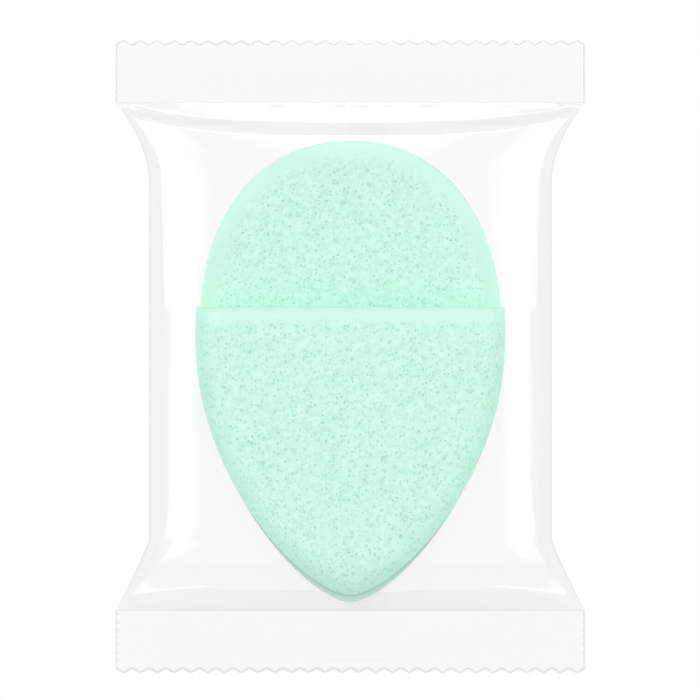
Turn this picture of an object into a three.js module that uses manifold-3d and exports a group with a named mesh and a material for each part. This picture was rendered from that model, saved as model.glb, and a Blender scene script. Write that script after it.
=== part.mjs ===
// A teardrop makeup remover sponge with a finger pocket, sealed in its clear flow-wrap packet.
// Millimetres, +Z up. The packet lies on its back: X runs across it, +Y runs to the round end of
// the sponge, and the origin is on the surface it lies on, under the middle of the packet.

import * as THREE from "three";
import Module from "manifold-3d";
import { mergeVertices } from "three/addons/utils/BufferGeometryUtils.js";

const wasm = await Module();
wasm.setup();

// Sponge: the teardrop outline, seen from the front
const SPONGE_LENGTH = 120; // round end to tip
const ROUND_END = 51; // round end down to the widest line
const BACK_WIDTH = 78.8;
const POCKET_OVERHANG = 0.8; // the pocket panel bulges past the back pad on each side
const TIP_FLANGE = 2.1; // pressed rim of the back pad that shows past the panel at the tip
const MOUTH_ABOVE_WIDEST = 7.6; // the pocket's mouth line above the widest line
// How far each outline curve runs straight on from its ends, as a share of its height or half width
const ROUND_SIDE_PULL = 0.7;
const ROUND_TOP_PULL = 0.54;
const POINT_SIDE_PULL = 0.58;
const POINT_TIP_PULL = 0.26;

// Sponge: the two foam layers, seen from the side
const BACK_THICKNESS = 10;
const PANEL_THICKNESS = 8;
const POCKET_GAPE = 3; // between the layers near the sides of the pocket
const PANEL_CROWN = 3; // rise of the pocket panel from its sides to its middle
const RIM_LIFT = 5.2; // pressed rim of the back pad above its underside
const RIM_THICKNESS = 1.8; // where the back pad's rim is bare
const FLANGE_THICKNESS = 2; // where it is pressed flat to carry the panel
const FLANGE_WIDTH = 4.4;
const PANEL_RIM = 2.4;
const UNDER_ROUND = 7; // plan width of each rounded edge
const BARE_ROUND = 6;
const PANEL_ROUND = 7;
const POCKET_ROUND = 7;
const LIP_ROUND = 4; // bull nose along the mouth
const MOUTH_BLEND = 25; // length over which the bare rim turns into the pressed flange

// Hot-melt bond line between the layers
const BOND_WIDTH = 1.4;
const BOND_INSET = 1; // from the panel's edge
const BOND_THICKNESS = 0.4;
const BOND_SEAT = 0.1;

// Packet: one web of film, formed into a tube
const FILM = 0.3;
const SIDE_ROOM = 12.4; // film to the back pad's side, halfway along
const TOP_ROOM = 9.9; // round end of the sponge to the end seal
const TIP_ROOM = 2.1;
const HEAD_ROOM = 8.6; // above the pocket panel
const SEAL_OVERHANG = 8.9; // end seal past the drawn-in side of the tube
const SEAL_HEIGHT = 11; // of the flat end seals above the resting surface
const TOP_NECK = 22; // length over which the tube's sides draw in from each end seal
const TOP_NECK_POWER = 2;
const BOTTOM_NECK = 19;
const BOTTOM_NECK_POWER = 1.15;
const SECTION_POWER = 3; // 2 is an ellipse, higher is boxier
const TOP_RISE = 56; // length over which the front leaves each end seal
const BOTTOM_RISE = 18;
const RISE_POWER = 2;
const FOLD_HEIGHT = 8; // step in the front below the top end seal
const FOLD_PLACE = 5.5; // from the seal to the step, halfway across
const FOLD_RUN = 4;
const FOLD_BOW = 5; // how far the step bends up towards the seal's corners
const FOLD_BOW_POWER = 3;
const BACK_RISE = 10; // length over which the back leaves both end seals
const BACK_POWER = 3;
const SAG = 2; // how far the slack back is pressed flat by the resting surface

// End seals and fin seal
const SEAL_WIDTH = 16;
const SEAL_THICKNESS = 0.6;
const CRIMP_RIBS = 8;
const CRIMP_DEPTH = 0.25;
const TOOTH_COUNT = 28;
const TOOTH_DEPTH = 1;
const FIN_WIDTH = 10;
const FIN_THICKNESS = 0.3;
const FIN_GAP = 0.15;
const FIN_MARGIN = 4; // film lifted past the fin's edges
const FIN_RAMP = 6;

const CLEARANCE = 0.3; // between pieces that lie against each other

// Facets
const CURVE_STEPS = 15;
const ACROSS_STEPS = 20;
const LIP_STEPS = 4;
const OUTLINE_STEPS = 60;
const TUBE_STEPS = 30;
const TUBE_HALF_STEPS = 24;
const FIN_STEPS = 3;
const RIB_STEPS = 4;

// Places worked out from the sizes
const CHAMBER = SPONGE_LENGTH + TOP_ROOM + TIP_ROOM;
const CHAMBER_HALF = CHAMBER / 2;
const TIP_Y = TIP_ROOM - CHAMBER_HALF;
const TOP_Y = TIP_Y + SPONGE_LENGTH;
const WIDEST_Y = TOP_Y - ROUND_END;
const MOUTH_Y = WIDEST_Y + MOUTH_ABOVE_WIDEST;
const PANEL_TIP_Y = TIP_Y + TIP_FLANGE;
const FIN_LIFT = FIN_THICKNESS + FIN_GAP;
const PAD_BASE = FIN_LIFT + FILM + CLEARANCE;
const PAD_TOP = PAD_BASE + BACK_THICKNESS;
const RIM_BASE = PAD_BASE + RIM_LIFT;
const FLANGE_TOP = RIM_BASE + FLANGE_THICKNESS;
const BOND_BASE = FLANGE_TOP + BOND_SEAT;
const PANEL_BASE = BOND_BASE + BOND_THICKNESS + CLEARANCE;
const POCKET_ROOF = PAD_TOP + POCKET_GAPE;
const PANEL_FACE = POCKET_ROOF + PANEL_THICKNESS;
const PACK_HEIGHT = PANEL_FACE + PANEL_CROWN + HEAD_ROOM + FILM;
const TUBE_HALF_WIDTH = BACK_WIDTH / 2 + SIDE_ROOM + FILM;
const SEAL_HALF_WIDTH = TUBE_HALF_WIDTH + SEAL_OVERHANG;
const FRONT_HEIGHT = PACK_HEIGHT - SEAL_HEIGHT;
const BACK_HEIGHT = SEAL_HEIGHT + SAG;
const TUBE_END = FILM + CLEARANCE / 6; // where the two walls are clear of each other

const foam = new THREE.MeshStandardMaterial({ color: 0xcbf8e6, roughness: 0.95, metalness: 0 });
const hotMelt = new THREE.MeshStandardMaterial({ color: 0xe2f7ee, roughness: 0.5, metalness: 0 });
const film = new THREE.MeshStandardMaterial({
  color: 0xf6f8f8,
  roughness: 0.08,
  metalness: 0,
  transparent: true,
  opacity: 0.22,
});
const crimpedFilm = film.clone();
crimpedFilm.roughness = 0.35;
crimpedFilm.opacity = 0.45;

// Plain numbers
const clamp01 = (t) => Math.min(1, Math.max(0, t));
const mix = (a, b, t) => a + (b - a) * t;
const smooth = (t) => clamp01(t) ** 2 * (3 - 2 * clamp01(t));
// A quarter round: 0 at t = 0 with an upright start, 1 from t = 1 on
const quarterRound = (t) => Math.sqrt(1 - (1 - clamp01(t)) ** 2);
// From -1 to 1, with the steps drawn together towards both ends
const endClustered = (i, steps) => Math.sin((Math.PI / 2) * ((2 * i) / steps - 1));
const range = (count) => Array.from({ length: count }, (_, i) => i);

// The right half of a teardrop, from its round end to its tip, as two curves that meet at the widest line
function teardropHalf(halfWidth, tipY) {
  const point = WIDEST_Y - tipY;
  const round = new THREE.CubicBezierCurve(
    new THREE.Vector2(0, TOP_Y),
    new THREE.Vector2(halfWidth * ROUND_TOP_PULL, TOP_Y),
    new THREE.Vector2(halfWidth, WIDEST_Y + ROUND_END * ROUND_SIDE_PULL),
    new THREE.Vector2(halfWidth, WIDEST_Y),
  );
  const pointed = new THREE.CubicBezierCurve(
    new THREE.Vector2(halfWidth, WIDEST_Y),
    new THREE.Vector2(halfWidth, WIDEST_Y - point * POINT_SIDE_PULL),
    new THREE.Vector2(halfWidth * POINT_TIP_PULL, tipY),
    new THREE.Vector2(0, tipY),
  );
  return { round, pointed };
}

const backOutline = teardropHalf(BACK_WIDTH / 2, TIP_Y);
const panelOutline = teardropHalf(BACK_WIDTH / 2 + POCKET_OVERHANG, PANEL_TIP_Y);

function sampled(outline, steps) {
  return [...outline.round.getPoints(steps), ...outline.pointed.getPoints(steps).slice(1)];
}

// Distance from a point inside the teardrop to its edge, less than 0 outside it
function edgeDistance(samples, x, y) {
  const at = new THREE.Vector3(Math.abs(x), y, 0);
  const near = new THREE.Vector3();
  let least = Infinity;
  let inside = false;
  samples.slice(1).forEach((end, i) => {
    const start = samples[i];
    const line = new THREE.Line3(new THREE.Vector3(start.x, start.y), new THREE.Vector3(end.x, end.y));
    least = Math.min(least, line.closestPointToPoint(at, true, near).distanceTo(at));
    const share = (start.y - y) / (start.y - end.y);
    if (share >= 0 && share <= 1 && at.x <= mix(start.x, end.x, share) + 1e-6) inside = true;
  });
  return inside ? least : -least;
}

const backEdge = sampled(backOutline, OUTLINE_STEPS);
const panelEdge = sampled(panelOutline, OUTLINE_STEPS);

// Closed surfaces from vertices and triangles, with coincident corners joined
function closedGeometry(vertices, triangles) {
  const loose = new THREE.BufferGeometry();
  loose.setAttribute("position", new THREE.Float32BufferAttribute(vertices.flatMap((v) => v.toArray()), 3));
  loose.setIndex(triangles.flat());
  const joined = mergeVertices(loose, 1e-4);
  const kept = [];
  for (let i = 0; i < joined.index.count; i += 3) {
    const [a, b, c] = [0, 1, 2].map((k) => joined.index.getX(i + k));
    if (a !== b && b !== c && c !== a) kept.push(a, b, c);
  }
  joined.setIndex(kept);
  joined.computeVertexNormals();
  return joined;
}

const quad = (a, b, c, d) => [
  [a, b, c],
  [a, c, d],
];

// A solid between two sheets of the same rows and columns, closed round their common border.
// Rows run towards -Y and columns towards +X, and the first sheet is the upper one.
function sheetSolid(upper, lower) {
  const rows = upper.length;
  const columns = upper[0].length;
  const id = (sheet, i, j) => sheet * rows * columns + i * columns + j;
  const triangles = [];
  range(rows - 1).forEach((i) =>
    range(columns - 1).forEach((j) => {
      triangles.push(...quad(id(0, i, j), id(0, i + 1, j), id(0, i + 1, j + 1), id(0, i, j + 1)));
      triangles.push(...quad(id(1, i, j), id(1, i, j + 1), id(1, i + 1, j + 1), id(1, i + 1, j)));
    }),
  );
  const border = [
    ...range(columns - 1).map((j) => [0, j]),
    ...range(rows - 1).map((i) => [i, columns - 1]),
    ...range(columns - 1).map((j) => [rows - 1, columns - 1 - j]),
    ...range(rows - 1).map((i) => [rows - 1 - i, 0]),
  ];
  border.forEach(([i, j], k) => {
    const [p, q] = border[(k + 1) % border.length];
    triangles.push(...quad(id(0, i, j), id(0, p, q), id(1, p, q), id(1, i, j)));
  });
  return closedGeometry([...upper.flat(), ...lower.flat()], triangles);
}

// A tube wall between two sets of closed rings, open at both ends.
// Rings run towards +Y, and turn from +X over the top.
function tubeSolid(outer, inner) {
  const rings = outer.length;
  const around = outer[0].length;
  const id = (wall, i, j) => wall * rings * around + i * around + (j % around);
  const triangles = [];
  range(rings - 1).forEach((i) =>
    range(around).forEach((j) => {
      triangles.push(...quad(id(0, i, j), id(0, i + 1, j), id(0, i + 1, j + 1), id(0, i, j + 1)));
      triangles.push(...quad(id(1, i, j), id(1, i, j + 1), id(1, i + 1, j + 1), id(1, i + 1, j)));
    }),
  );
  const last = rings - 1;
  range(around).forEach((j) => {
    triangles.push(...quad(id(0, 0, j), id(0, 0, j + 1), id(1, 0, j + 1), id(1, 0, j)));
    triangles.push(...quad(id(0, last, j), id(1, last, j), id(1, last, j + 1), id(0, last, j + 1)));
  });
  return closedGeometry([...outer.flat(), ...inner.flat()], triangles);
}

// Back pad: a teardrop of foam with a rounded underside and a pressed rim.
// Its upper edge is rounded where it is bare, and pressed to a flat flange where the panel is bonded on.
function backPadUpper(x, y) {
  const bareRim = RIM_BASE + RIM_THICKNESS;
  const bare = mix(bareRim, PAD_TOP, quarterRound(edgeDistance(backEdge, x, y) / BARE_ROUND));
  const pastFlange = edgeDistance(panelEdge, x, y) - FLANGE_WIDTH;
  const pressed = mix(FLANGE_TOP, PAD_TOP, smooth(pastFlange / POCKET_ROUND));
  return mix(pressed, bare, smooth((y - MOUTH_Y) / MOUTH_BLEND));
}

function backPadLower(x, y) {
  return mix(RIM_BASE, PAD_BASE, quarterRound(edgeDistance(backEdge, x, y) / UNDER_ROUND));
}

function acrossOutline(rows) {
  return rows.map(({ x, y }) =>
    range(ACROSS_STEPS + 1).map((j) => new THREE.Vector2(x * endClustered(j, ACROSS_STEPS), y)),
  );
}

function backPad() {
  const plan = acrossOutline(sampled(backOutline, CURVE_STEPS));
  const upper = plan.map((row) => row.map(({ x, y }) => new THREE.Vector3(x, y, backPadUpper(x, y))));
  const lower = plan.map((row) => row.map(({ x, y }) => new THREE.Vector3(x, y, backPadLower(x, y))));
  return sheetSolid(upper, lower);
}

// Pocket panel: the front layer, from the mouth to the tip. It is pressed thin at its rim, crowned over
// the pocket, and rounded to a bull nose along the mouth.
const PANEL_REACH = BACK_WIDTH / 2 + POCKET_OVERHANG;

function panelCrown(x, y) {
  const middleY = MOUTH_Y - LIP_ROUND;
  const across = x / PANEL_REACH;
  const along = Math.max(0, (middleY - y) / (middleY - PANEL_TIP_Y));
  return PANEL_CROWN * Math.max(0, 1 - across ** 2 - along ** 2);
}

function panelUpper(x, y) {
  const edge = edgeDistance(panelEdge, x, y);
  return mix(PANEL_BASE + PANEL_RIM, PANEL_FACE, quarterRound(edge / PANEL_ROUND)) + panelCrown(x, y);
}

function panelLower(x, y) {
  const pastFlange = edgeDistance(panelEdge, x, y) - FLANGE_WIDTH;
  const roof = POCKET_ROOF + panelCrown(x, y);
  return mix(PANEL_BASE, roof, quarterRound(pastFlange / POCKET_ROUND));
}

// The panel's outline point at a height between its mouth and the widest line
function besideMouth(y) {
  const points = panelOutline.round.getPoints(OUTLINE_STEPS);
  const below = points.findIndex((p) => p.y <= y);
  const [a, b] = [points[below - 1], points[below]];
  return new THREE.Vector2(mix(a.x, b.x, (a.y - y) / (a.y - b.y)), y);
}

function pocketPanel() {
  const lip = range(LIP_STEPS + 1).map((i) => LIP_ROUND * (1 - Math.cos((Math.PI / 2) * (i / LIP_STEPS))));
  const pointed = panelOutline.pointed.getPoints(CURVE_STEPS + 3);
  const plan = acrossOutline([...lip.map((e) => besideMouth(MOUTH_Y - e)), ...pointed]);
  const heights = plan.map((row) =>
    row.map(({ x, y }) => {
      const [top, bottom] = [panelUpper(x, y), panelLower(x, y)];
      const middle = (top + bottom) / 2;
      const nose = quarterRound((MOUTH_Y - y) / LIP_ROUND);
      return [mix(middle, top, nose), mix(middle, bottom, nose)];
    }),
  );
  const sheet = (side) =>
    plan.map((row, i) => row.map(({ x, y }, j) => new THREE.Vector3(x, y, heights[i][j][side])));
  return sheetSolid(sheet(0), sheet(1));
}

// Edge bond: a flat bead of hot melt that runs from one corner of the mouth, round the tip, to the other
function edgeBond() {
  const samples = sampled(panelOutline, CURVE_STEPS).filter((p) => p.y <= MOUTH_Y - LIP_ROUND);
  const inset = (distance) =>
    samples.map((p, i) => {
      const along = samples[Math.min(i + 1, samples.length - 1)].clone().sub(samples[Math.max(i - 1, 0)]);
      if (i === samples.length - 1) along.set(-1, 0);
      along.normalize();
      return new THREE.Vector2(p.x + along.y * distance, p.y - along.x * distance);
    });
  const whole = (right) => [
    ...right,
    ...right.slice(0, -1).reverse().map((p) => new THREE.Vector2(-p.x, p.y)),
  ];
  const outside = whole(inset(BOND_INSET));
  const inside = whole(inset(BOND_INSET + BOND_WIDTH));
  const shape = new THREE.Shape([...outside, ...inside.reverse()]);
  return new THREE.ExtrudeGeometry(shape, { depth: BOND_THICKNESS, bevelEnabled: false });
}

// Wrap film: a tube whose section is flat and wide at the end seals, and drawn in and full between them.
// Its underside is pressed flat on the resting surface, and lifted a little over the fin seal.
const rising = (end, length, power) => 1 - (1 - clamp01(end / length)) ** power;

function tubeStation(y) {
  const end = CHAMBER_HALF - Math.abs(y);
  const [neck, power] = y > 0 ? [TOP_NECK, TOP_NECK_POWER] : [BOTTOM_NECK, BOTTOM_NECK_POWER];
  return {
    halfWidth: mix(SEAL_HALF_WIDTH, TUBE_HALF_WIDTH, rising(end, neck, power)),
    back: BACK_HEIGHT * rising(end, BACK_RISE, BACK_POWER),
  };
}

// How far the front stands off the end seals' level, at a share of the half width.
// Below the top seal, slack film folds into a step that bends up towards the seal's corners.
function tubeFront(across, y) {
  const end = CHAMBER_HALF - Math.abs(y);
  if (y < 0) return FRONT_HEIGHT * rising(end, BOTTOM_RISE, RISE_POWER);
  const bowed = end + FOLD_BOW * Math.abs(across) ** FOLD_BOW_POWER;
  const fold = FOLD_HEIGHT * smooth((bowed - FOLD_PLACE) / FOLD_RUN);
  return fold + (FRONT_HEIGHT - FOLD_HEIGHT) * rising(end, TOP_RISE, RISE_POWER);
}

function finLift(x) {
  const beyond = Math.abs(x - FIN_WIDTH / 2) - FIN_WIDTH / 2 - FIN_MARGIN;
  return FIN_LIFT * (1 - clamp01(beyond / FIN_RAMP));
}

const sectionFullness = (across) => (1 - Math.abs(across) ** SECTION_POWER) ** (1 / SECTION_POWER);

function tubeBackHeight(x, y) {
  const { halfWidth, back } = tubeStation(y);
  return Math.max(finLift(x), SEAL_HEIGHT - back * sectionFullness(x / halfWidth));
}

// One closed ring of the tube's wall, set in from the outer face by the given depth
function tubeRing(y, depth) {
  const { halfWidth, back } = tubeStation(y);
  const reach = halfWidth - depth;
  const across = range(TUBE_HALF_STEPS + 1).map((j) => endClustered(j, TUBE_HALF_STEPS));
  const over = [...across].reverse().map((s) => {
    const z = SEAL_HEIGHT + (tubeFront(s, y) - depth) * sectionFullness(s);
    return new THREE.Vector3(reach * s, y, z);
  });
  const under = across.slice(1, -1).map((s) => {
    const z = SEAL_HEIGHT - (back - depth) * sectionFullness(s);
    return new THREE.Vector3(reach * s, y, Math.max(finLift(reach * s) + depth, z));
  });
  return [...over, ...under];
}

const TUBE_REACH = CHAMBER_HALF - TUBE_END;
const tubeStations = range(TUBE_STEPS + 1).map((i) => TUBE_REACH * endClustered(i, TUBE_STEPS));

function wrapFilm() {
  return tubeSolid(
    tubeStations.map((y) => tubeRing(y, 0)),
    tubeStations.map((y) => tubeRing(y, FILM)),
  );
}

// Fin seal: the two edges of the web, sealed together and folded flat along the packet's back
function finSeal() {
  const stations = tubeStations.slice(1, -1).reverse();
  const face = (offset) =>
    stations.map((y) =>
      range(FIN_STEPS + 1).map((j) => {
        const x = (FIN_WIDTH * j) / FIN_STEPS;
        const slope = (tubeBackHeight(x, y + FILM) - tubeBackHeight(x, y - FILM)) / (2 * FILM);
        const outward = new THREE.Vector3(0, slope, -1).normalize();
        return new THREE.Vector3(x, y, tubeBackHeight(x, y)).addScaledVector(outward, offset);
      }),
    );
  return sheetSolid(face(FIN_GAP), face(FIN_GAP + FIN_THICKNESS));
}

// Booleans
function solidOf(geometry) {
  const bare = geometry.clone();
  bare.deleteAttribute("normal");
  bare.deleteAttribute("uv");
  const joined = mergeVertices(bare, 1e-4);
  const triVerts = new Uint32Array(joined.index.array);
  return new wasm.Manifold(
    new wasm.Mesh({ numProp: 3, vertProperties: joined.attributes.position.array, triVerts }),
  );
}

function geometryOf(solid) {
  const mesh = solid.getMesh();
  const geometry = new THREE.BufferGeometry();
  geometry.setAttribute("position", new THREE.BufferAttribute(mesh.vertProperties, mesh.numProp));
  geometry.setIndex(new THREE.BufferAttribute(mesh.triVerts, 1));
  geometry.computeVertexNormals();
  return geometry;
}

// End seal: both plies fused flat, crimped in ribs along its length and cut to saw teeth at its outer edge.
// It is made with its inner edge on Y = 0 and its teeth towards +Y.
function endSeal() {
  const ribSteps = CRIMP_RIBS * RIB_STEPS;
  const wave = range(ribSteps + 1).map((i) => {
    const y = (SEAL_WIDTH * i) / ribSteps;
    return new THREE.Vector2(y, CRIMP_DEPTH * Math.sin((2 * Math.PI * i) / RIB_STEPS));
  });
  const lifted = (dz) => wave.map((p) => new THREE.Vector2(p.x, p.y + dz));
  const section = new THREE.Shape([
    ...lifted(-SEAL_THICKNESS / 2),
    ...lifted(SEAL_THICKNESS / 2).reverse(),
  ]);
  const width = 2 * SEAL_HALF_WIDTH;
  const ribbed = new THREE.ExtrudeGeometry(section, { depth: width, bevelEnabled: false });
  ribbed.applyMatrix4(
    new THREE.Matrix4().makeBasis(
      new THREE.Vector3(0, 1, 0),
      new THREE.Vector3(0, 0, 1),
      new THREE.Vector3(1, 0, 0),
    ),
  );
  ribbed.translate(-SEAL_HALF_WIDTH, 0, 0);

  const pitch = width / TOOTH_COUNT;
  const teeth = range(2 * TOOTH_COUNT + 1).map(
    (i) => new THREE.Vector2(SEAL_HALF_WIDTH - (pitch * i) / 2, SEAL_WIDTH - (i % 2 ? 0 : TOOTH_DEPTH)),
  );
  const plan = new THREE.Shape([
    new THREE.Vector2(-SEAL_HALF_WIDTH, 0),
    new THREE.Vector2(SEAL_HALF_WIDTH, 0),
    ...teeth,
  ]);
  const depth = 4 * (CRIMP_DEPTH + SEAL_THICKNESS);
  const cutter = new THREE.ExtrudeGeometry(plan, { depth, bevelEnabled: false });
  cutter.translate(0, 0, -depth / 2);
  return geometryOf(solidOf(ribbed).intersect(solidOf(cutter)));
}

function piece(name, geometry, material) {
  const mesh = new THREE.Mesh(geometry, material);
  mesh.name = name;
  return mesh;
}

// The sponge: two foam layers and their bond line
const sponge = new THREE.Group();
const bond = piece("edge_bond", edgeBond(), hotMelt);
bond.position.z = BOND_BASE;
sponge.add(piece("back_pad", backPad(), foam), bond, piece("pocket_panel", pocketPanel(), foam));

// The packet: the formed web, its fin seal along the back, and the crimped seals across its ends
const packet = new THREE.Group();
const topSeal = piece("top_end_seal", endSeal(), crimpedFilm);
topSeal.position.set(0, CHAMBER_HALF + CLEARANCE, SEAL_HEIGHT);
const bottomSeal = piece("bottom_end_seal", endSeal(), crimpedFilm);
bottomSeal.position.set(0, -CHAMBER_HALF - CLEARANCE, SEAL_HEIGHT);
bottomSeal.rotation.z = Math.PI;
packet.add(
  piece("wrap_film", wrapFilm(), film),
  piece("fin_seal", finSeal(), crimpedFilm),
  topSeal,
  bottomSeal,
);

const wrappedSponge = new THREE.Group();
wrappedSponge.add(sponge, packet);

export default wrappedSponge;
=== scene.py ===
import itertools

import bpy
import numpy as np
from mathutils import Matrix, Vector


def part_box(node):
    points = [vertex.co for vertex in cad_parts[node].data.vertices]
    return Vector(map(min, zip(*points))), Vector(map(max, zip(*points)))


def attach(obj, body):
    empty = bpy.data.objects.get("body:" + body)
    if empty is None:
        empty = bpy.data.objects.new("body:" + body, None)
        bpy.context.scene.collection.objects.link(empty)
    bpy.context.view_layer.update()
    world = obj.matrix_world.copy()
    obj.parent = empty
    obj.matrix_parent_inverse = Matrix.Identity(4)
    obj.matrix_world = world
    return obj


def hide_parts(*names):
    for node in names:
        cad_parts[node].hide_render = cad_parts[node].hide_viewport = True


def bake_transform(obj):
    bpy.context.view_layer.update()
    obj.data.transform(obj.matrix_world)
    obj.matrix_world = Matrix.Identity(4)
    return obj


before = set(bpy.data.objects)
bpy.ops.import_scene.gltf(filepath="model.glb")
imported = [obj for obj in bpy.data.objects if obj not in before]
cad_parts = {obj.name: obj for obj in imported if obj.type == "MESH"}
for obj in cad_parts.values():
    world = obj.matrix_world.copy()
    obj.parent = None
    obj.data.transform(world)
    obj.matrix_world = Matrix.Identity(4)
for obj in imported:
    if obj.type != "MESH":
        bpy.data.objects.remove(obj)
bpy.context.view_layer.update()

MM = 0.001

# BACK PAD
# The back layer of the sponge: open-cell foam, cut to a teardrop from sheet and hot pressed round its edge.
# Its face is bare above the pocket's mouth, and below it carries the pocket panel on a flat pressed flange.


def bezier(a, b, c, d, steps=160):
    """Points of the cubic curve that leaves a towards b and reaches d from c."""
    t = np.linspace(0, 1, steps)[:, None]
    return (1 - t) ** 3 * a + 3 * (1 - t) ** 2 * t * b + 3 * (1 - t) * t**2 * c + t**3 * d


# How far each curve of the outline runs straight on from its ends, as a share of its half width or height
ROUND_TOP_PULL, ROUND_SIDE_PULL = 0.54, 0.7
POINT_SIDE_PULL, POINT_TIP_PULL = 0.58, 0.26


def teardrop_half(half_width, top, widest, tip):
    """Right half of a teardrop, top to tip: two cubic curves that meet upright at the widest line."""
    at = lambda x, y: np.array([x, y], float)
    upper = bezier(
        at(0, top), at(ROUND_TOP_PULL * half_width, top),
        at(half_width, widest + ROUND_SIDE_PULL * (top - widest)), at(half_width, widest),
    )
    lower = bezier(
        at(half_width, widest), at(half_width, widest + POINT_SIDE_PULL * (tip - widest)),
        at(POINT_TIP_PULL * half_width, tip), at(0, tip),
    )
    return np.concatenate([upper, lower[1:]])


def edge_distance(half, x, y):
    """Distance in from a teardrop's edge, negative outside: the least distance to any piece of its
    half outline."""
    a, b = half[:-1], half[1:]
    along = b - a
    flat = np.stack([np.abs(x).ravel(), y.ravel()], axis=1)
    least = np.empty(len(flat))
    for start in range(0, len(flat), 4000):
        p = flat[start : start + 4000, None, :]
        share = np.clip(((p - a) * along).sum(-1) / (along**2).sum(-1), 0, 1)
        least[start : start + 4000] = np.linalg.norm(p - a - share[..., None] * along, axis=-1).min(axis=1)
    inside = flat[:, 0] <= np.interp(flat[:, 1], half[::-1, 1], half[::-1, 0], left=-1, right=-1) + 1e-9
    return np.where(inside, least, -least).reshape(x.shape)


def quarter_round(t):
    """Quarter of a circle: 0 with an upright start at t = 0, and 1 from t = 1 on."""
    return np.sqrt(1 - (1 - np.clip(t, 0, 1)) ** 2)


def smooth(t):
    """Smooth step from 0 at t = 0 to 1 at t = 1."""
    t = np.clip(t, 0, 1)
    return t * t * (3 - 2 * t)


def mix(a, b, t):
    return a + (b - a) * t


def new_mesh(name, points, faces, smooth_shaded=True):
    """A mesh object from an array of points and an array of quads or triangles, shaded smooth."""
    mesh = bpy.data.meshes.new(name)
    mesh.from_pydata(points.reshape(-1, 3).tolist(), [], faces)
    mesh.polygons.foreach_set("use_smooth", np.full(len(mesh.polygons), smooth_shaded))
    mesh.update()
    made = bpy.data.objects.new(name, mesh)
    bpy.context.scene.collection.objects.link(made)
    return made


def sheet_faces(rows, columns):
    """Quads of two sheets of rows and columns, the first facing up and the second down, joined round
    the border."""
    k, i = np.meshgrid(np.arange(rows - 1), np.arange(columns - 1), indexing="ij")
    a = k * columns + i
    up = np.stack([a, a + 1, a + columns + 1, a + columns], axis=-1).reshape(-1, 4)
    size = rows * columns
    ids = np.arange(size).reshape(rows, columns)
    border = np.concatenate([ids[0, :-1], ids[:-1, -1], ids[-1, :0:-1], ids[:0:-1, 0]])
    following = np.roll(border, -1)
    wall = np.stack([border, border + size, following + size, following], axis=-1)
    return np.concatenate([up, up[:, ::-1] + size, wall]).tolist()


def pressed_sheet(name, plan, upper, lower):
    """A closed piece of sheet over a grid of plan points, between two heights at every point."""
    sheets = [np.concatenate([plan, height[..., None]], axis=-1) for height in (upper, lower)]
    return new_mesh(name, np.stack(sheets), sheet_faces(*upper.shape))


def cells(points, size, seed):
    """Cellular noise: distance from each point to the nearest of one random centre per cube of that size,
    in cube sizes, and a random share that belongs to that centre."""
    table = np.random.default_rng(seed).random((32, 32, 32, 4))
    where = points / size
    home = np.floor(where).astype(int)
    nearest = np.full(len(points), 9.0)
    share = np.zeros(len(points))
    for step in itertools.product((-1, 0, 1), repeat=3):
        cube = home + np.array(step)
        picked = table[tuple((cube % 32).T)]
        gap = np.linalg.norm(cube + picked[:, :3] - where, axis=1)
        closer = gap < nearest
        nearest = np.where(closer, gap, nearest)
        share = np.where(closer, picked[:, 3], share)
    return nearest, share


def open_pores(piece, openness, deep, seed):
    """Sinks pores into a foam piece along its normals: round pits of two sizes on cellular noise, and a
    low swell, and stores how dark each pit is painted as painted shade. openness is 1 where the cells are cut
    open and 0 where pressing closed them to a skin, and deep is 1 where the colour is deepest, partly packed
    dye and, on the panel's shaded rim, painted shade."""
    swell_size = 7 * MM
    swell_height = 0.25 * MM
    mesh = piece.data
    count = len(mesh.vertices)
    points = np.empty(count * 3, np.float32)
    normals = np.empty(count * 3, np.float32)
    mesh.vertices.foreach_get("co", points)
    mesh.vertex_normals.foreach_get("vector", normals)
    points = points.reshape(-1, 3).astype(float)
    pit_shade = np.zeros(count)
    depth = np.zeros(count)
    for size, radius, sink, kept in ((1.9 * MM, 0.3, 0.32 * MM, 0.55), (1.3 * MM, 0.34, 0.22 * MM, 0.8)):
        gap, share = cells(points, size, seed)
        reach = radius * (0.55 + 0.75 * share)
        here = np.where(share < kept, smooth((reach - gap) / (0.6 * reach)), 0)
        pit_shade = np.maximum(pit_shade, here * (0.25 + 0.75 * share))
        depth = np.maximum(depth, here * sink)
        seed += 1
    swell, _ = cells(points, swell_size, seed)
    moved = points + normals.reshape(-1, 3) * (openness * (swell_height * (0.5 - swell) - depth))[:, None]
    mesh.vertices.foreach_set("co", moved.astype(np.float32).ravel())
    # The pits' darkness is stored as painted shade of their hollows, with where the skin lies and where the
    # colour is deepest
    for label, values in (("pore_shade", pit_shade * openness), ("skin", 1 - openness), ("deep", deep)):
        mesh.attributes.new(label, "FLOAT", "POINT").data.foreach_set("value", values.astype(np.float32))
    mesh.update()


def srgb(code):
    """Linear RGBA of an sRGB hex colour."""
    parts = [int(code[k : k + 2], 16) / 255 for k in (1, 3, 5)]
    return [c / 12.92 if c <= 0.04045 else ((c + 0.055) / 1.055) ** 2.4 for c in parts] + [1.0]


def add_node(tree, kind, settings={}, **inputs):
    """One shader node: settings are its properties, and inputs are values or other nodes' outputs by
    socket name, with _ for a space, or by place as in0, in1."""
    made = tree.nodes.new(kind)
    for key, value in settings.items():
        setattr(made, key, value)
    for key, value in inputs.items():
        place = int(key[2:]) if key[:2] == "in" and key[2:].isdigit() else key.replace("_", " ")
        if isinstance(value, bpy.types.NodeSocket):
            tree.links.new(value, made.inputs[place])
        else:
            made.inputs[place].default_value = value
    return made


def new_material(name):
    """An empty node material, and its tree."""
    material = bpy.data.materials.new(name)
    material.use_nodes = True
    material.node_tree.nodes.clear()
    return material, material.node_tree
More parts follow.
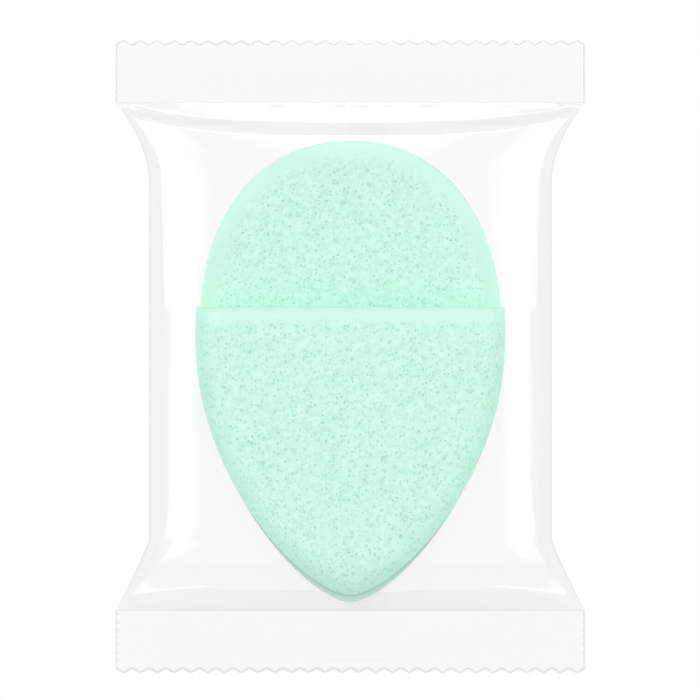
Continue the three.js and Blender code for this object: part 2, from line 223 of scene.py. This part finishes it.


# Mint foam: dyed through and cut from the block, with a mottled face whose open cells are pits, darkened by
# painted shade.
# Hot pressing closes them to a skin painted paler as painted light, and packs the dye to a deeper colour
# round the edges, which painted shade deepens on the panel's rim.
mottle_size = 1.8 * MM
cell_size = 0.95 * MM
cell_drift = 0.8 * MM
foam, tree = new_material("mint_open_cell_foam")
place = add_node(tree, "ShaderNodeTexCoord").outputs["Object"]
pore_shade = add_node(tree, "ShaderNodeAttribute", {"attribute_name": "pore_shade"}).outputs["Fac"]
skin = add_node(tree, "ShaderNodeAttribute", {"attribute_name": "skin"}).outputs["Fac"]
deep = add_node(tree, "ShaderNodeAttribute", {"attribute_name": "deep"}).outputs["Fac"]
patchy = add_node(
    tree, "ShaderNodeTexNoise", Vector=place, Scale=1 / mottle_size, Detail=3.0, Roughness=0.8
).outputs["Fac"]
mottled = add_node(
    tree, "ShaderNodeMath", {"operation": "MULTIPLY_ADD", "use_clamp": True}, in0=patchy, in1=2.5, in2=-0.75
).outputs[0]
body_colour = add_node(
    tree, "ShaderNodeMix", {"data_type": "RGBA"}, in0=mottled, in6=srgb("#C1F3DE"), in7=srgb("#DAFEF1")
).outputs[2]
# Closed skin is painted paler: painted light that brightens the lip and rims and lifts the shade on the
# flange round the tip
painted_light_skin_colour = add_node(
    tree, "ShaderNodeMix", {"data_type": "RGBA"}, in0=skin, in6=body_colour, in7=srgb("#DEFBF0")
).outputs[2]
# Round the edges the colour is deeper: packed dye, and on the panel's rim also painted shade for its shaded
# flanks
deep_and_painted_shade_colour = add_node(
    tree, "ShaderNodeMix", {"data_type": "RGBA"}, in0=deep, in6=painted_light_skin_colour, in7=srgb("#C6F7E2")
).outputs[2]
# Smaller cells, down to about 0.3 mm, cut through at every depth, so each shows as a pit of its own width,
# bumped in and darkened by painted shade
ragged = add_node(tree, "ShaderNodeTexNoise", Vector=place, Scale=1 / cell_drift).outputs["Color"]
astray = add_node(
    tree, "ShaderNodeVectorMath", {"operation": "MULTIPLY_ADD"}, in0=ragged, in1=(cell_drift,) * 3, in2=place
).outputs[0]
small = add_node(tree, "ShaderNodeTexVoronoi", Vector=astray, Scale=1 / cell_size)
tone = add_node(tree, "ShaderNodeSeparateColor", Color=small.outputs["Color"]).outputs[0]
width = add_node(
    tree, "ShaderNodeMath", {"operation": "MULTIPLY_ADD"}, in0=tone, in1=0.4, in2=0.12
).outputs[0]
within = add_node(
    tree, "ShaderNodeMath", {"operation": "SUBTRACT"}, in0=width, in1=small.outputs["Distance"]
).outputs[0]
speck = add_node(
    tree, "ShaderNodeMath", {"operation": "MULTIPLY", "use_clamp": True}, in0=within, in1=3.0
).outputs[0]
open_cells = add_node(tree, "ShaderNodeMath", {"operation": "SUBTRACT"}, in0=1.0, in1=skin).outputs[0]
speck_pit_and_shade = add_node(tree, "ShaderNodeMath", {"operation": "MULTIPLY"}, in0=speck, in1=open_cells).outputs[0]
pit_shade = add_node(tree, "ShaderNodeMath", {"operation": "MAXIMUM"}, in0=pore_shade, in1=speck_pit_and_shade).outputs[0]
# Pits, both those sunk in the mesh and the small specks, are darkened with painted shade of their hollows
foam_colour = add_node(
    tree, "ShaderNodeMix", {"data_type": "RGBA"}, in0=pit_shade, in6=deep_and_painted_shade_colour, in7=srgb("#A5E3CC")
).outputs[2]
sunk = add_node(tree, "ShaderNodeMath", {"operation": "SUBTRACT"}, in0=1.0, in1=speck_pit_and_shade).outputs[0]
rough = add_node(tree, "ShaderNodeBump", Strength=0.25, Distance=0.25 * MM, Height=sunk).outputs["Normal"]
shader = add_node(
    tree, "ShaderNodeBsdfPrincipled", Base_Color=foam_colour, Roughness=0.92, Normal=rough,
    **{"Specular IOR Level": 0.15},
)
add_node(tree, "ShaderNodeOutputMaterial", Surface=shader.outputs[0])

pad_low, pad_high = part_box("back_pad")
panel_low, panel_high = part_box("pocket_panel")
round_end = 51 * MM
widest = pad_high[1] - round_end
mouth = panel_high[1]
pad_half = teardrop_half(pad_high[0], pad_high[1], widest, pad_low[1])
panel_half = teardrop_half(panel_high[0], pad_high[1], widest, panel_low[1])


def patch(bottom, right, top):
    """Grid of plan points between four sides, the left one the mirror of the right: each point is what the
    two pairs of facing sides give it together, less what the corners would. Rows run up and columns to the
    right."""
    left = right * [-1, 1]
    u = closer_at_ends(len(bottom))[None, :, None]
    v = closer_at_ends(len(right))[:, None, None]
    corners = (1 - v) * mix(bottom[0], bottom[-1], u) + v * mix(top[0], top[-1], u)
    return mix(bottom[None], top[None], v) + mix(left[:, None], right[:, None], u) - corners


def closer_at_ends(count):
    """Shares from 0 to 1 in even steps, which shorten to a fifth over the last 12 at each end."""
    place = np.arange(count - 1)
    step = np.clip(0.2 + np.minimum(place, count - 2 - place) / 15, 0, 1)
    return np.concatenate([[0], np.cumsum(step)]) / step.sum()


def along_path(points, count):
    """Points of a path at those shares of its length."""
    run = np.concatenate([[0], np.cumsum(np.linalg.norm(np.diff(points, axis=0), axis=1))])
    want = run[-1] * closer_at_ends(count)
    return np.stack([np.interp(want, run, points[:, k]) for k in range(2)], axis=1)


def both_halves(right):
    """A path from the left half to the right one, through the middle point that begins the right half."""
    return np.concatenate([(right * [-1, 1])[:0:-1], right])


rows, columns = 224, 196
shoulder, flank = 70, 270
pad_plan = patch(
    along_path(both_halves(pad_half[: flank - 1 : -1]), columns),
    along_path(pad_half[flank : shoulder - 1 : -1], rows),
    along_path(both_halves(pad_half[: shoulder + 1]), columns),
)
border = np.ones((rows, columns), bool)
border[1:-1, 1:-1] = False
x, y = pad_plan[..., 0], pad_plan[..., 1]
inset = np.where(border, 0, edge_distance(pad_half, x, y))
flange_width = 4.4 * MM
flange_thickness = 2 * MM
flange_slope = 7 * MM
rim_lift = 5.2 * MM
bare_rim = 1.8 * MM
bare_round = 6 * MM
under_round = 7 * MM
mouth_blend = 25 * MM
past_flange = edge_distance(panel_half, x, y) - flange_width
rim_base = pad_low[2] + rim_lift
bare = mix(rim_base + bare_rim, pad_high[2], quarter_round(inset / bare_round))
pressed = mix(rim_base + flange_thickness, pad_high[2], smooth(past_flange / flange_slope))
above_mouth = smooth((y - mouth) / mouth_blend)
back_pad = pressed_sheet(
    "back_pad_foam",
    pad_plan,
    mix(pressed, bare, above_mouth),
    mix(rim_base, pad_low[2], quarter_round(inset / under_round)),
)
pad_skin = 2.4 * MM
pad_skin_fade = 3.6 * MM
packed_share = 0.7
packed_blend = 10 * MM
# Where the cells are closed the pad is painted paler, as painted light that lifts the shade on the flange
# round the tip
cut_open = smooth((inset - pad_skin) / pad_skin_fade)
deep = packed_share * (1 - cut_open) * smooth((y - mouth) / packed_blend + 1)
open_pores(back_pad, np.tile(cut_open.ravel(), 2), np.tile(deep.ravel(), 2), seed=11)
back_pad.data.materials.append(foam)
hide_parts("back_pad")
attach(back_pad, "sponge")

# EDGE BOND
# The bead of hot melt that holds the panel to the back pad. It is laid warm on the flange, round the tip from
# one corner of the mouth to the other, and squeezed flat between the layers.


def evenly(points, count):
    """The same open path, resampled to count points at equal steps of its length."""
    run = np.concatenate([[0], np.cumsum(np.linalg.norm(np.diff(points, axis=0), axis=1))])
    want = np.linspace(0, run[-1], count)
    return np.stack([np.interp(want, run, points[:, k]) for k in range(points.shape[1])], axis=1)


bond_low, bond_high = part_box("edge_bond")
bead_rings, bead_sides = 300, 12
bead_inset = 1.7 * MM
bead_half_width = 0.7 * MM
bead_half_height = 0.2 * MM
bead_wander = 0.12 * MM
u_path = panel_half[panel_half[:, 1] <= bond_high[1]]
u_path = evenly(np.concatenate([u_path, (u_path * [-1, 1])[-2::-1]]), bead_rings)
heading = np.gradient(u_path, axis=0)
heading /= np.linalg.norm(heading, axis=1)[:, None]
inward = np.stack([heading[:, 1], -heading[:, 0]], axis=1)
# An oval section carried along the path, which wanders from side to side as two sines beat
turn = np.linspace(0, 2 * np.pi, bead_sides + 1)[:-1]
ring = np.arange(bead_rings)
wobble = bead_wander * np.sin(ring * 0.9) * np.sin(ring * 0.23)
offset = bead_inset + wobble[:, None] + bead_half_width * np.cos(turn)
bead_z = mix(bond_low[2], bond_high[2], 0.5) + bead_half_height * np.sin(turn)[None, :, None]
bead = np.concatenate(
    [
        u_path[:, None, :] + inward[:, None, :] * offset[..., None],
        np.broadcast_to(bead_z, (bead_rings, bead_sides, 1)),
    ],
    axis=-1,
)


def tube_faces(rings, around):
    """Quads of a tube of rings, with both ends closed by a polygon."""
    k, i = np.meshgrid(np.arange(rings - 1), np.arange(around), indexing="ij")
    j = (i + 1) % around
    quads = np.stack([k * around + i, (k + 1) * around + i, (k + 1) * around + j, k * around + j], axis=-1)
    caps = [list(range(around)), list(range((rings - 1) * around, rings * around))[::-1]]
    return quads.reshape(-1, 4).tolist() + caps


edge_bond = new_mesh("edge_bond_bead", bead, tube_faces(bead_rings, bead_sides))
# Hot melt: milky and half gloss, with faint flow marks where it was squeezed
hot_melt, tree = new_material("milky_hot_melt")
place = add_node(tree, "ShaderNodeTexCoord").outputs["Object"]
flow = add_node(tree, "ShaderNodeTexNoise", Vector=place, Scale=1 / (2 * MM)).outputs["Fac"]
melt_colour = add_node(
    tree, "ShaderNodeMix", {"data_type": "RGBA"}, in0=flow, in6=srgb("#D5F2E6"), in7=srgb("#E9FAF3")
).outputs[2]
shader = add_node(tree, "ShaderNodeBsdfPrincipled", Base_Color=melt_colour, Roughness=0.45)
add_node(tree, "ShaderNodeOutputMaterial", Surface=shader.outputs[0])
edge_bond.data.materials.append(hot_melt)
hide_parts("edge_bond")
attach(edge_bond, "sponge")

# POCKET PANEL
# The front layer of foam, bonded round the tip and sides so that fingers slide in under its free upper edge.
# Its rim is pressed thin, it stands crowned over the pocket, and its mouth is pressed to a smooth round lip.

corner = np.array([np.interp(mouth, panel_half[::-1, 1], panel_half[::-1, 0]), mouth])
below = np.concatenate([[corner], panel_half[panel_half[:, 1] < mouth]])
flank = len(below) - 50
panel_plan = patch(
    along_path(both_halves(below[: flank - 1 : -1]), columns),
    along_path(below[flank::-1], rows),
    along_path(np.array([corner * [-1, 1], corner]), columns),
)
x, y = panel_plan[..., 0], panel_plan[..., 1]
inset = np.maximum(edge_distance(panel_half, x, y), 0)
inset[0] = inset[:, 0] = inset[:, -1] = 0
from_mouth = np.maximum(mouth - y, 0)
gape = 3 * MM
panel_thickness = 8 * MM
panel_rim = 2.4 * MM
panel_round = 7 * MM
pocket_round = 7 * MM
crown_height = 3 * MM
lip_round = 4 * MM
along = np.maximum(0, (mouth - lip_round - y) / (mouth - lip_round - panel_low[1]))
crown = crown_height * np.maximum(0, 1 - (x / panel_high[0]) ** 2 - along**2)
roof = pad_high[2] + gape
upper = mix(panel_low[2] + panel_rim, roof + panel_thickness, quarter_round(inset / panel_round)) + crown
lower = mix(panel_low[2], roof + crown, quarter_round((inset - flange_width) / pocket_round))
# The lip's nose keeps a sliver of height, so that the wall that joins the two faces there has an area
nose = np.maximum(quarter_round(from_mouth / lip_round), 0.04)
middle = (upper + lower) / 2
pocket_panel = pressed_sheet(
    "pocket_panel_foam", panel_plan, mix(middle, upper, nose), mix(middle, lower, nose)
)
lip_skin = 2.6 * MM
lip_skin_fade = 2.4 * MM
lip_packed_share = 0.45
rim_skin = 0.2 * MM
rim_skin_fade = 1 * MM
# The panel's rim is painted a deeper green, partly packed dye and partly painted shade on its shaded flanks
rim_packed_shade = 1.2 * MM
rim_packed_shade_fade = 5 * MM
on_face = smooth((from_mouth - lip_skin) / lip_skin_fade)
cut_open = smooth((inset - rim_skin) / rim_skin_fade) * on_face
deep = np.maximum(lip_packed_share * (1 - on_face), 1 - smooth((inset - rim_packed_shade) / rim_packed_shade_fade))
open_pores(pocket_panel, np.tile(cut_open.ravel(), 2), np.tile(deep.ravel(), 2), seed=23)
pocket_panel.data.materials.append(foam)
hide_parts("pocket_panel")
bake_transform(pocket_panel)

# WRAP FILM
# One web of clear film, drawn round the sponge into a tube and pinched flat at both ends. Air and the sponge
# fill it out between, so its sides draw in, its ends gather in pleats, and creases run in from the corners.

film_low, film_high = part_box("wrap_film")
seal_low, seal_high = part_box("top_end_seal")
film_gap = 0.3 * MM
chamber = seal_low[1] - film_gap
seal_level = (seal_low[2] + seal_high[2]) / 2
seal_half = seal_high[0]
seal_overhang = 8.9 * MM
tube_half = seal_half - seal_overhang
FULLNESS = 3
top_neck, bottom_neck = 22 * MM, 19 * MM
top_rise, bottom_rise, back_rise = 56 * MM, 18 * MM, 10 * MM
press = 2 * MM
fold_height, fold_start, fold_run, fold_bow = 8 * MM, 5.5 * MM, 4 * MM, 5 * MM


def film_station(y):
    """Half width of the tube at y, and how far its back stands off the seal's level: powers of the distance
    from the nearer end seal. The top end draws in on a curve, and the bottom end almost straight."""
    end = chamber - np.abs(y)
    neck = np.where(
        y > 0,
        (1 - np.clip(end / top_neck, 0, 1)) ** 2,
        (1 - np.clip(end / bottom_neck, 0, 1)) ** 1.15,
    )
    back = (seal_level + press) * (1 - (1 - np.clip(end / back_rise, 0, 1)) ** 3)
    return mix(tube_half, seal_half, neck), back


def film_front(ratio, y):
    """How far the front stands off the seal's level: at the bottom end a parabola, and at the top end a long
    parabola, with a step in it that bows towards the corners of the seal."""
    end = chamber - np.abs(y)
    rise = film_high[2] - seal_level
    bottom = rise * (1 - (1 - np.clip(end / bottom_rise, 0, 1)) ** 2)
    bowed = end + fold_bow * np.abs(ratio) ** 3
    step = fold_height * smooth((bowed - fold_start) / fold_run)
    top = step + (rise - fold_height) * (1 - (1 - np.clip(end / top_rise, 0, 1)) ** 2)
    return np.where(y > 0, top, bottom)


def film_lift(x):
    """Height to which the film is lifted over the fin seal that lies under it: flat over the fin, and down
    on a smooth step past each side of it."""
    fin_middle, lift_half, lift_fade, lift = 5 * MM, 9 * MM, 6 * MM, 0.45 * MM
    beyond = np.abs(x - fin_middle) - lift_half
    return lift * (1 - smooth(beyond / lift_fade))


def film_clear(x, y):
    """How far the full section of the underside clears what it rests on, negative where it is pressed
    flat."""
    half, back = film_station(y)
    bulge = (1 - np.clip(np.abs(x / half), 0, 1) ** FULLNESS) ** (1 / FULLNESS)
    return seal_level - back * bulge - film_lift(x)


def film_back(x, y):
    """Height of the film's underside: the full section, pressed flat where it rests."""
    return film_lift(x) + np.maximum(film_clear(x, y), 0)


def creases(x, y, reach):
    """Ridges and valleys in the front film: pleats that gather along each end seal and die out inwards, and
    four creases that fan in from every corner, each a bell curve across a line that fades at both ends."""
    end = chamber - np.abs(y)
    pleats = np.sin(x / (3.1 * MM) + 2 * np.sin(x / (11 * MM))) * np.sin(x / (7.3 * MM) + 1.3)
    rise = 0.35 * MM * pleats * np.exp(-end / (5 * MM)) * smooth(end / (1.5 * MM))
    for across, lengthwise in itertools.product((-1, 1), repeat=2):
        u = seal_half - across * x
        v = chamber - lengthwise * y
        for angle, length, width, height in (
            (18, 34, 1.1, 0.5), (33, 42, 1.5, -0.6), (52, 38, 1.6, 0.55), (70, 46, 1.8, -0.45)
        ):
            tilt = np.radians(angle + 3 * across + 2 * lengthwise)
            run = u * np.cos(tilt) + v * np.sin(tilt)
            off = -u * np.sin(tilt) + v * np.cos(tilt)
            fade = smooth(run / (6 * MM)) * smooth(1 - run / (length * MM))
            spread = width * MM * (0.4 + run / (length * MM))
            rise = rise + height * MM * fade * np.exp(-((off / np.maximum(spread, 0.2 * MM)) ** 2))
    return rise * reach


along_steps, across_steps = 240, 130
y = chamber * np.sin(np.linspace(-np.pi / 2, np.pi / 2, along_steps + 1))[:, None]
ratio = np.sin(np.linspace(-np.pi / 2, np.pi / 2, across_steps + 1))[None, :]
half, back = film_station(y)
bulge = (1 - np.abs(ratio) ** FULLNESS) ** (1 / FULLNESS)
x = half * ratio
slack = smooth((1 - np.abs(ratio)) / 0.08) * smooth((chamber - np.abs(y)) / (2 * MM))
drift = 0.25 * MM * np.sin(x / (17 * MM) + 1.1) * np.sin(y / (23 * MM) + 0.4)
front_z = seal_level + film_front(ratio, y) * bulge + slack * drift + creases(x, y, slack)
over = np.stack([x, np.broadcast_to(y, x.shape), front_z], axis=-1)
# Underneath, the point of each column nearest the fold where the film leaves the floor moves onto that fold
free = film_clear(x, y)
folded = free[:-1] * free[1:] < 0
share = np.where(folded, free[:-1] / np.where(folded, free[:-1] - free[1:], 1), 0)
fold_y = mix(y[:-1], y[1:], share)
under_y = np.broadcast_to(y, x.shape).copy()
under_y[:-1] = np.where(folded & (share < 0.5), fold_y, under_y[:-1])
under_y[1:] = np.where(folded & (share >= 0.5), fold_y, under_y[1:])
under_x = film_station(under_y)[0] * ratio
under = np.stack([under_x, under_y, film_back(under_x, under_y)], axis=-1)[:, -2:0:-1]
film_rings = np.concatenate([over, under], axis=1)
around = film_rings.shape[1]
k, i = np.meshgrid(np.arange(along_steps), np.arange(around), indexing="ij")
j = (i + 1) % around
film_faces = np.stack(
    [k * around + i, k * around + j, (k + 1) * around + j, (k + 1) * around + i], axis=-1
)
wrap_film = new_mesh("wrap_film_web", film_rings, film_faces.reshape(-1, 4).tolist())
fold_angle = np.radians(24)
wrap_film.data.set_sharp_from_angle(angle=fold_angle)


def film_material(name, clear, edge, mirrors, gloss, ripple):
    """Clear film: it lets light through, a little less where it is seen edge on, and mirrors more at a
    slant. Its drawn surface has low waves."""
    wave_size = 14 * MM
    wave_height = 0.4 * MM
    material, tree = new_material(name)
    place = add_node(tree, "ShaderNodeTexCoord").outputs["Object"]
    waves = add_node(tree, "ShaderNodeTexNoise", Vector=place, Scale=1 / wave_size, Detail=2.0).outputs["Fac"]
    bent = add_node(
        tree, "ShaderNodeBump", Strength=ripple, Distance=wave_height, Height=waves
    ).outputs["Normal"]
    slant = add_node(tree, "ShaderNodeLayerWeight", Blend=0.5, Normal=bent).outputs["Facing"]
    shaded = add_node(
        tree, "ShaderNodeMapRange", {"interpolation_type": "SMOOTHSTEP"},
        Value=slant, From_Min=0.04, From_Max=0.26,
    ).outputs[0]
    tint = add_node(
        tree, "ShaderNodeMix", {"data_type": "RGBA"}, in0=shaded, in6=srgb(clear), in7=srgb(edge)
    ).outputs[2]
    through = add_node(tree, "ShaderNodeBsdfTransparent", Color=tint)
    mirror = add_node(tree, "ShaderNodeBsdfGlossy", Roughness=gloss, Normal=bent)
    steep = add_node(tree, "ShaderNodeMath", {"operation": "POWER"}, in0=slant, in1=5.0).outputs[0]
    share = add_node(
        tree, "ShaderNodeMath", {"operation": "MULTIPLY_ADD"}, in0=steep, in1=11 * mirrors, in2=mirrors
    ).outputs[0]
    both = add_node(tree, "ShaderNodeMixShader", in0=share, in1=through.outputs[0], in2=mirror.outputs[0])
    add_node(tree, "ShaderNodeOutputMaterial", Surface=both.outputs[0])
    return material


# Cast film: as smooth as it left the rollers, so it mirrors sharply
clear_film = film_material("clear_packaging_film", "#FEFEFE", "#FAFAFA", 0.04, 0.04, 0.25)
wrap_film.data.materials.append(clear_film)
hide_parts("wrap_film")
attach(wrap_film, "packet")

# FIN SEAL
# The two long edges of the web, sealed face to face by heated wheels and folded flat under the packet's back.
# The wheels leave fine ribs along it.

fin_low, fin_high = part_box("fin_seal")
rows, columns = 200, 41
fin_short = 0.9 * MM
fin_inner, fin_outer = 0.17 * MM, 0.4 * MM
rib_height, rib_pitch = 0.05 * MM, 1.6 * MM
probe = 0.2 * MM
fy = (chamber - fin_short) * np.sin(np.linspace(-np.pi / 2, np.pi / 2, rows))[:, None]
fx = np.broadcast_to(np.linspace(fin_low[0], fin_high[0], columns)[None, :], (rows, columns))
level = film_back(fx, fy)
slope = (film_back(fx, fy + probe) - film_back(fx, fy - probe)) / (2 * probe)
length = np.sqrt(1 + slope**2)
ribs = rib_height * np.sin(2 * np.pi * fx / rib_pitch)


def fin_face(depth):
    """The film's underside, moved out along its slope by depth."""
    return np.stack([fx, fy + slope / length * depth, level - depth / length], axis=-1)


fin_seal = new_mesh(
    "fin_seal_strip",
    np.stack([fin_face(fin_inner + ribs), fin_face(fin_outer + ribs)]),
    sheet_faces(rows, columns),
)
# Fused film: two plies that the wheels left half matt
fin_film = film_material("fused_packaging_film", "#FFFFFF", "#FFFFFF", 0.005, 0.16, 0.4)
fin_seal.data.materials.append(fin_film)
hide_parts("fin_seal")
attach(fin_seal, "packet")

# END SEALS
# At each end both plies are fused between heated jaws, which press ribs across the band, and a toothed knife
# cuts the packet from the next one.

# Crimped film: two plies that the ribbed jaws left half matt, so the ribs show as soft lines
crimped_film = film_material("crimped_packaging_film", "#FDFDFD", "#F3F3F3", 0.03, 0.16, 0.4)


def end_seal(name, node, way):
    """A band of sheet: ribs are a sine across it, its outer edge is a triangle wave of teeth, it curls a
    little towards that edge on two sines, and it turns down along its cut edges."""
    rows, columns = 97, 449
    tooth_count, tooth_depth = 28, 1.0 * MM
    rib_height, rib_pitch = 0.1 * MM, 2 * MM
    overlap = 0.2 * MM
    turn_down, turn_width = 0.6 * MM, 0.9 * MM
    half_thickness = 0.05 * MM
    low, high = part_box(node)
    s = np.linspace(0, 1, rows)[:, None]
    x = np.linspace(low[0], high[0], columns)[None, :]
    teeth = np.abs((x - low[0]) / (high[0] - low[0]) * tooth_count % 1 - 0.5) * 2
    inner = way * (chamber - overlap)
    reach = way * (high[1] - low[1] + film_gap + overlap - tooth_depth * teeth)
    y = inner + reach * s
    run = np.abs(y - inner)
    flat = smooth(run / (1.2 * MM)) * smooth((np.abs(reach) - run) / (0.8 * MM))
    rib = rib_height * np.sin(2 * np.pi * run / rib_pitch) * flat
    curl = 0.5 * MM * np.sin(x / (19 * MM) + way) * s**2
    curl = curl + 0.3 * MM * np.sin(x / (8.3 * MM) + 2 * way) * s**3
    cut = np.minimum(np.abs(reach) - run, np.minimum(x - low[0], high[0] - x))
    z = seal_level + rib + curl - turn_down * (1 - smooth(cut / turn_width))
    flat_x, flat_y = np.broadcast_to(x, z.shape), np.broadcast_to(y, z.shape)
    sheet = lambda lift: np.stack([flat_x, flat_y, z + lift], axis=-1)
    faces = sheet_faces(rows, columns)
    if way < 0:
        faces = [face[::-1] for face in faces]
    band = new_mesh(name, np.stack([sheet(half_thickness), sheet(-half_thickness)]), faces)
    band.data.materials.append(crimped_film)
    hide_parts(node)
    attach(band, "packet")


end_seal("top_end_seal_band", "top_end_seal", 1)
end_seal("bottom_end_seal_band", "bottom_end_seal", -1)

# STUDIO
# A white paper sweep under the packet, with a key lamp beyond its top, one overhead and three low fills that
# light the foam. Three faded strips show only in the film, as its highlights, and the camera looks down.

edge = 3.0
floor_drop = 0.3 * MM
floor = new_mesh(
    "floor",
    np.array([[-edge, -edge, 0], [edge, -edge, 0], [edge, edge, 0], [-edge, edge, 0]]) - [0, 0, floor_drop],
    [[0, 1, 2, 3]],
)
# White paper: matt, with a faint tooth. It is lifted to the white of the background where it is seen
tooth_size = 3 * MM
paper, tree = new_material("white_paper_sweep")
place = add_node(tree, "ShaderNodeTexCoord").outputs["Object"]
tooth = add_node(tree, "ShaderNodeTexNoise", Vector=place, Scale=1 / tooth_size).outputs["Fac"]
white = add_node(
    tree, "ShaderNodeMix", {"data_type": "RGBA"}, in0=tooth, in6=srgb("#FBFBFB"), in7=srgb("#FDFDFD")
).outputs[2]
lit = add_node(tree, "ShaderNodeBsdfDiffuse", Color=white)
glow = add_node(tree, "ShaderNodeEmission", Color=srgb("#FFFFFF"), Strength=1.0)
rays = add_node(tree, "ShaderNodeLightPath").outputs
mirrored = add_node(
    tree, "ShaderNodeMath", {"operation": "MAXIMUM"},
    in0=rays["Is Glossy Ray"], in1=rays["Is Transmission Ray"],
).outputs[0]
direct = add_node(
    tree, "ShaderNodeMath", {"operation": "MAXIMUM"}, in0=rays["Is Camera Ray"], in1=mirrored
).outputs[0]
lifted = add_node(tree, "ShaderNodeMath", {"operation": "MULTIPLY"}, in0=direct, in1=0.9).outputs[0]
sweep = add_node(tree, "ShaderNodeMixShader", in0=lifted, in1=lit.outputs[0], in2=glow.outputs[0])
add_node(tree, "ShaderNodeOutputMaterial", Surface=sweep.outputs[0])
floor.data.materials.append(paper)

world = bpy.data.worlds.new("studio")
bpy.context.scene.world = world
world.use_nodes = True
tree = world.node_tree
tree.nodes.clear()
rays = add_node(tree, "ShaderNodeLightPath").outputs
mirrored = add_node(
    tree, "ShaderNodeMath", {"operation": "MAXIMUM"},
    in0=rays["Is Glossy Ray"], in1=rays["Is Transmission Ray"],
).outputs[0]
room = add_node(tree, "ShaderNodeBackground", Color=srgb("#FFFFFF"), Strength=0.42)
seen = add_node(tree, "ShaderNodeBackground", Color=srgb("#FFFFFF"), Strength=1.0)
mirrored_room = add_node(tree, "ShaderNodeBackground", Color=srgb("#FFFFFF"), Strength=0.9)
plain = add_node(
    tree, "ShaderNodeMixShader", in0=mirrored, in1=room.outputs[0], in2=mirrored_room.outputs[0]
)
whole = add_node(
    tree, "ShaderNodeMixShader", in0=rays["Is Camera Ray"], in1=plain.outputs[0], in2=seen.outputs[0]
)
add_node(tree, "ShaderNodeOutputWorld", Surface=whole.outputs[0])


def soft_box(name, at, aim, width, height, watts):
    """A flat lamp that faces a point."""
    lamp = bpy.data.lights.new(name, "AREA")
    lamp.shape = "RECTANGLE"
    lamp.size = width
    lamp.size_y = height
    lamp.energy = watts
    made = bpy.data.objects.new(name, lamp)
    bpy.context.scene.collection.objects.link(made)
    made.location = at
    towards = np.array(aim) - np.array(at)
    flat = np.hypot(towards[0], towards[1])
    made.rotation_euler = (np.arctan2(flat, -towards[2]), 0, np.arctan2(towards[1], towards[0]) - np.pi / 2)
    return made


aim_point = (0, 0, 0.01)
fill_width, fill_height = 0.6, 0.3
for name, at, watts in (
    ("key", (0, 0.55, 0.95), 4),
    ("overhead", (0, 0.1, 1.3), 4.6),
    ("fill_near", (0, -1.0, 0.2), 2.5),
    ("fill_left", (-1.0, 0, 0.2), 2),
    ("fill_right", (1.0, 0, 0.2), 2),
):
    lamp = soft_box(name, at, aim_point, fill_width, fill_height, watts)
    lamp.visible_glossy = False


def fade_edges(lamp):
    """Fades a flat lamp to nothing towards its four edges, so that its reflection has no hard outline."""
    lamp.use_nodes = True
    tree = lamp.node_tree
    tree.nodes.clear()
    over = add_node(tree, "ShaderNodeNewGeometry").outputs["Parametric"]
    sides = add_node(tree, "ShaderNodeSeparateXYZ", Vector=over).outputs
    shares = []
    for side in (sides["X"], sides["Y"]):
        from_edge = add_node(tree, "ShaderNodeMath", {"operation": "PINGPONG"}, in0=side, in1=0.5).outputs[0]
        shares.append(
            add_node(
                tree, "ShaderNodeMapRange", {"interpolation_type": "SMOOTHSTEP"},
                Value=from_edge, From_Max=0.35,
            ).outputs[0]
        )
    share = add_node(
        tree, "ShaderNodeMath", {"operation": "MULTIPLY"}, in0=shares[0], in1=shares[1]
    ).outputs[0]
    glow = add_node(tree, "ShaderNodeEmission", Color=srgb("#FFFFFF"), Strength=share)
    add_node(tree, "ShaderNodeOutputLight", Surface=glow.outputs[0])


strip_watts = 12.4
for name, at, width, height in (
    ("strip_beyond", (0, 0.9, 0.48), 1.7, 0.65),
    ("strip_left", (-0.67, 0.25, 0.43), 1.85, 0.74),
    ("strip_right", (0.67, 0.25, 0.43), 1.85, 0.74),
):
    strip = soft_box(name, at, aim_point, width, height, strip_watts)
    strip.visible_diffuse = False
    fade_edges(strip.data)

lens = bpy.data.cameras.new("camera")
lens.lens = 200
lens.sensor_width = 36
camera = bpy.data.objects.new("camera", lens)
bpy.context.scene.collection.objects.link(camera)
camera.location = (-0.0001, 0.0017, 1.0198)
bpy.context.scene.camera = camera
bpy.context.scene.view_settings.view_transform = "Standard"
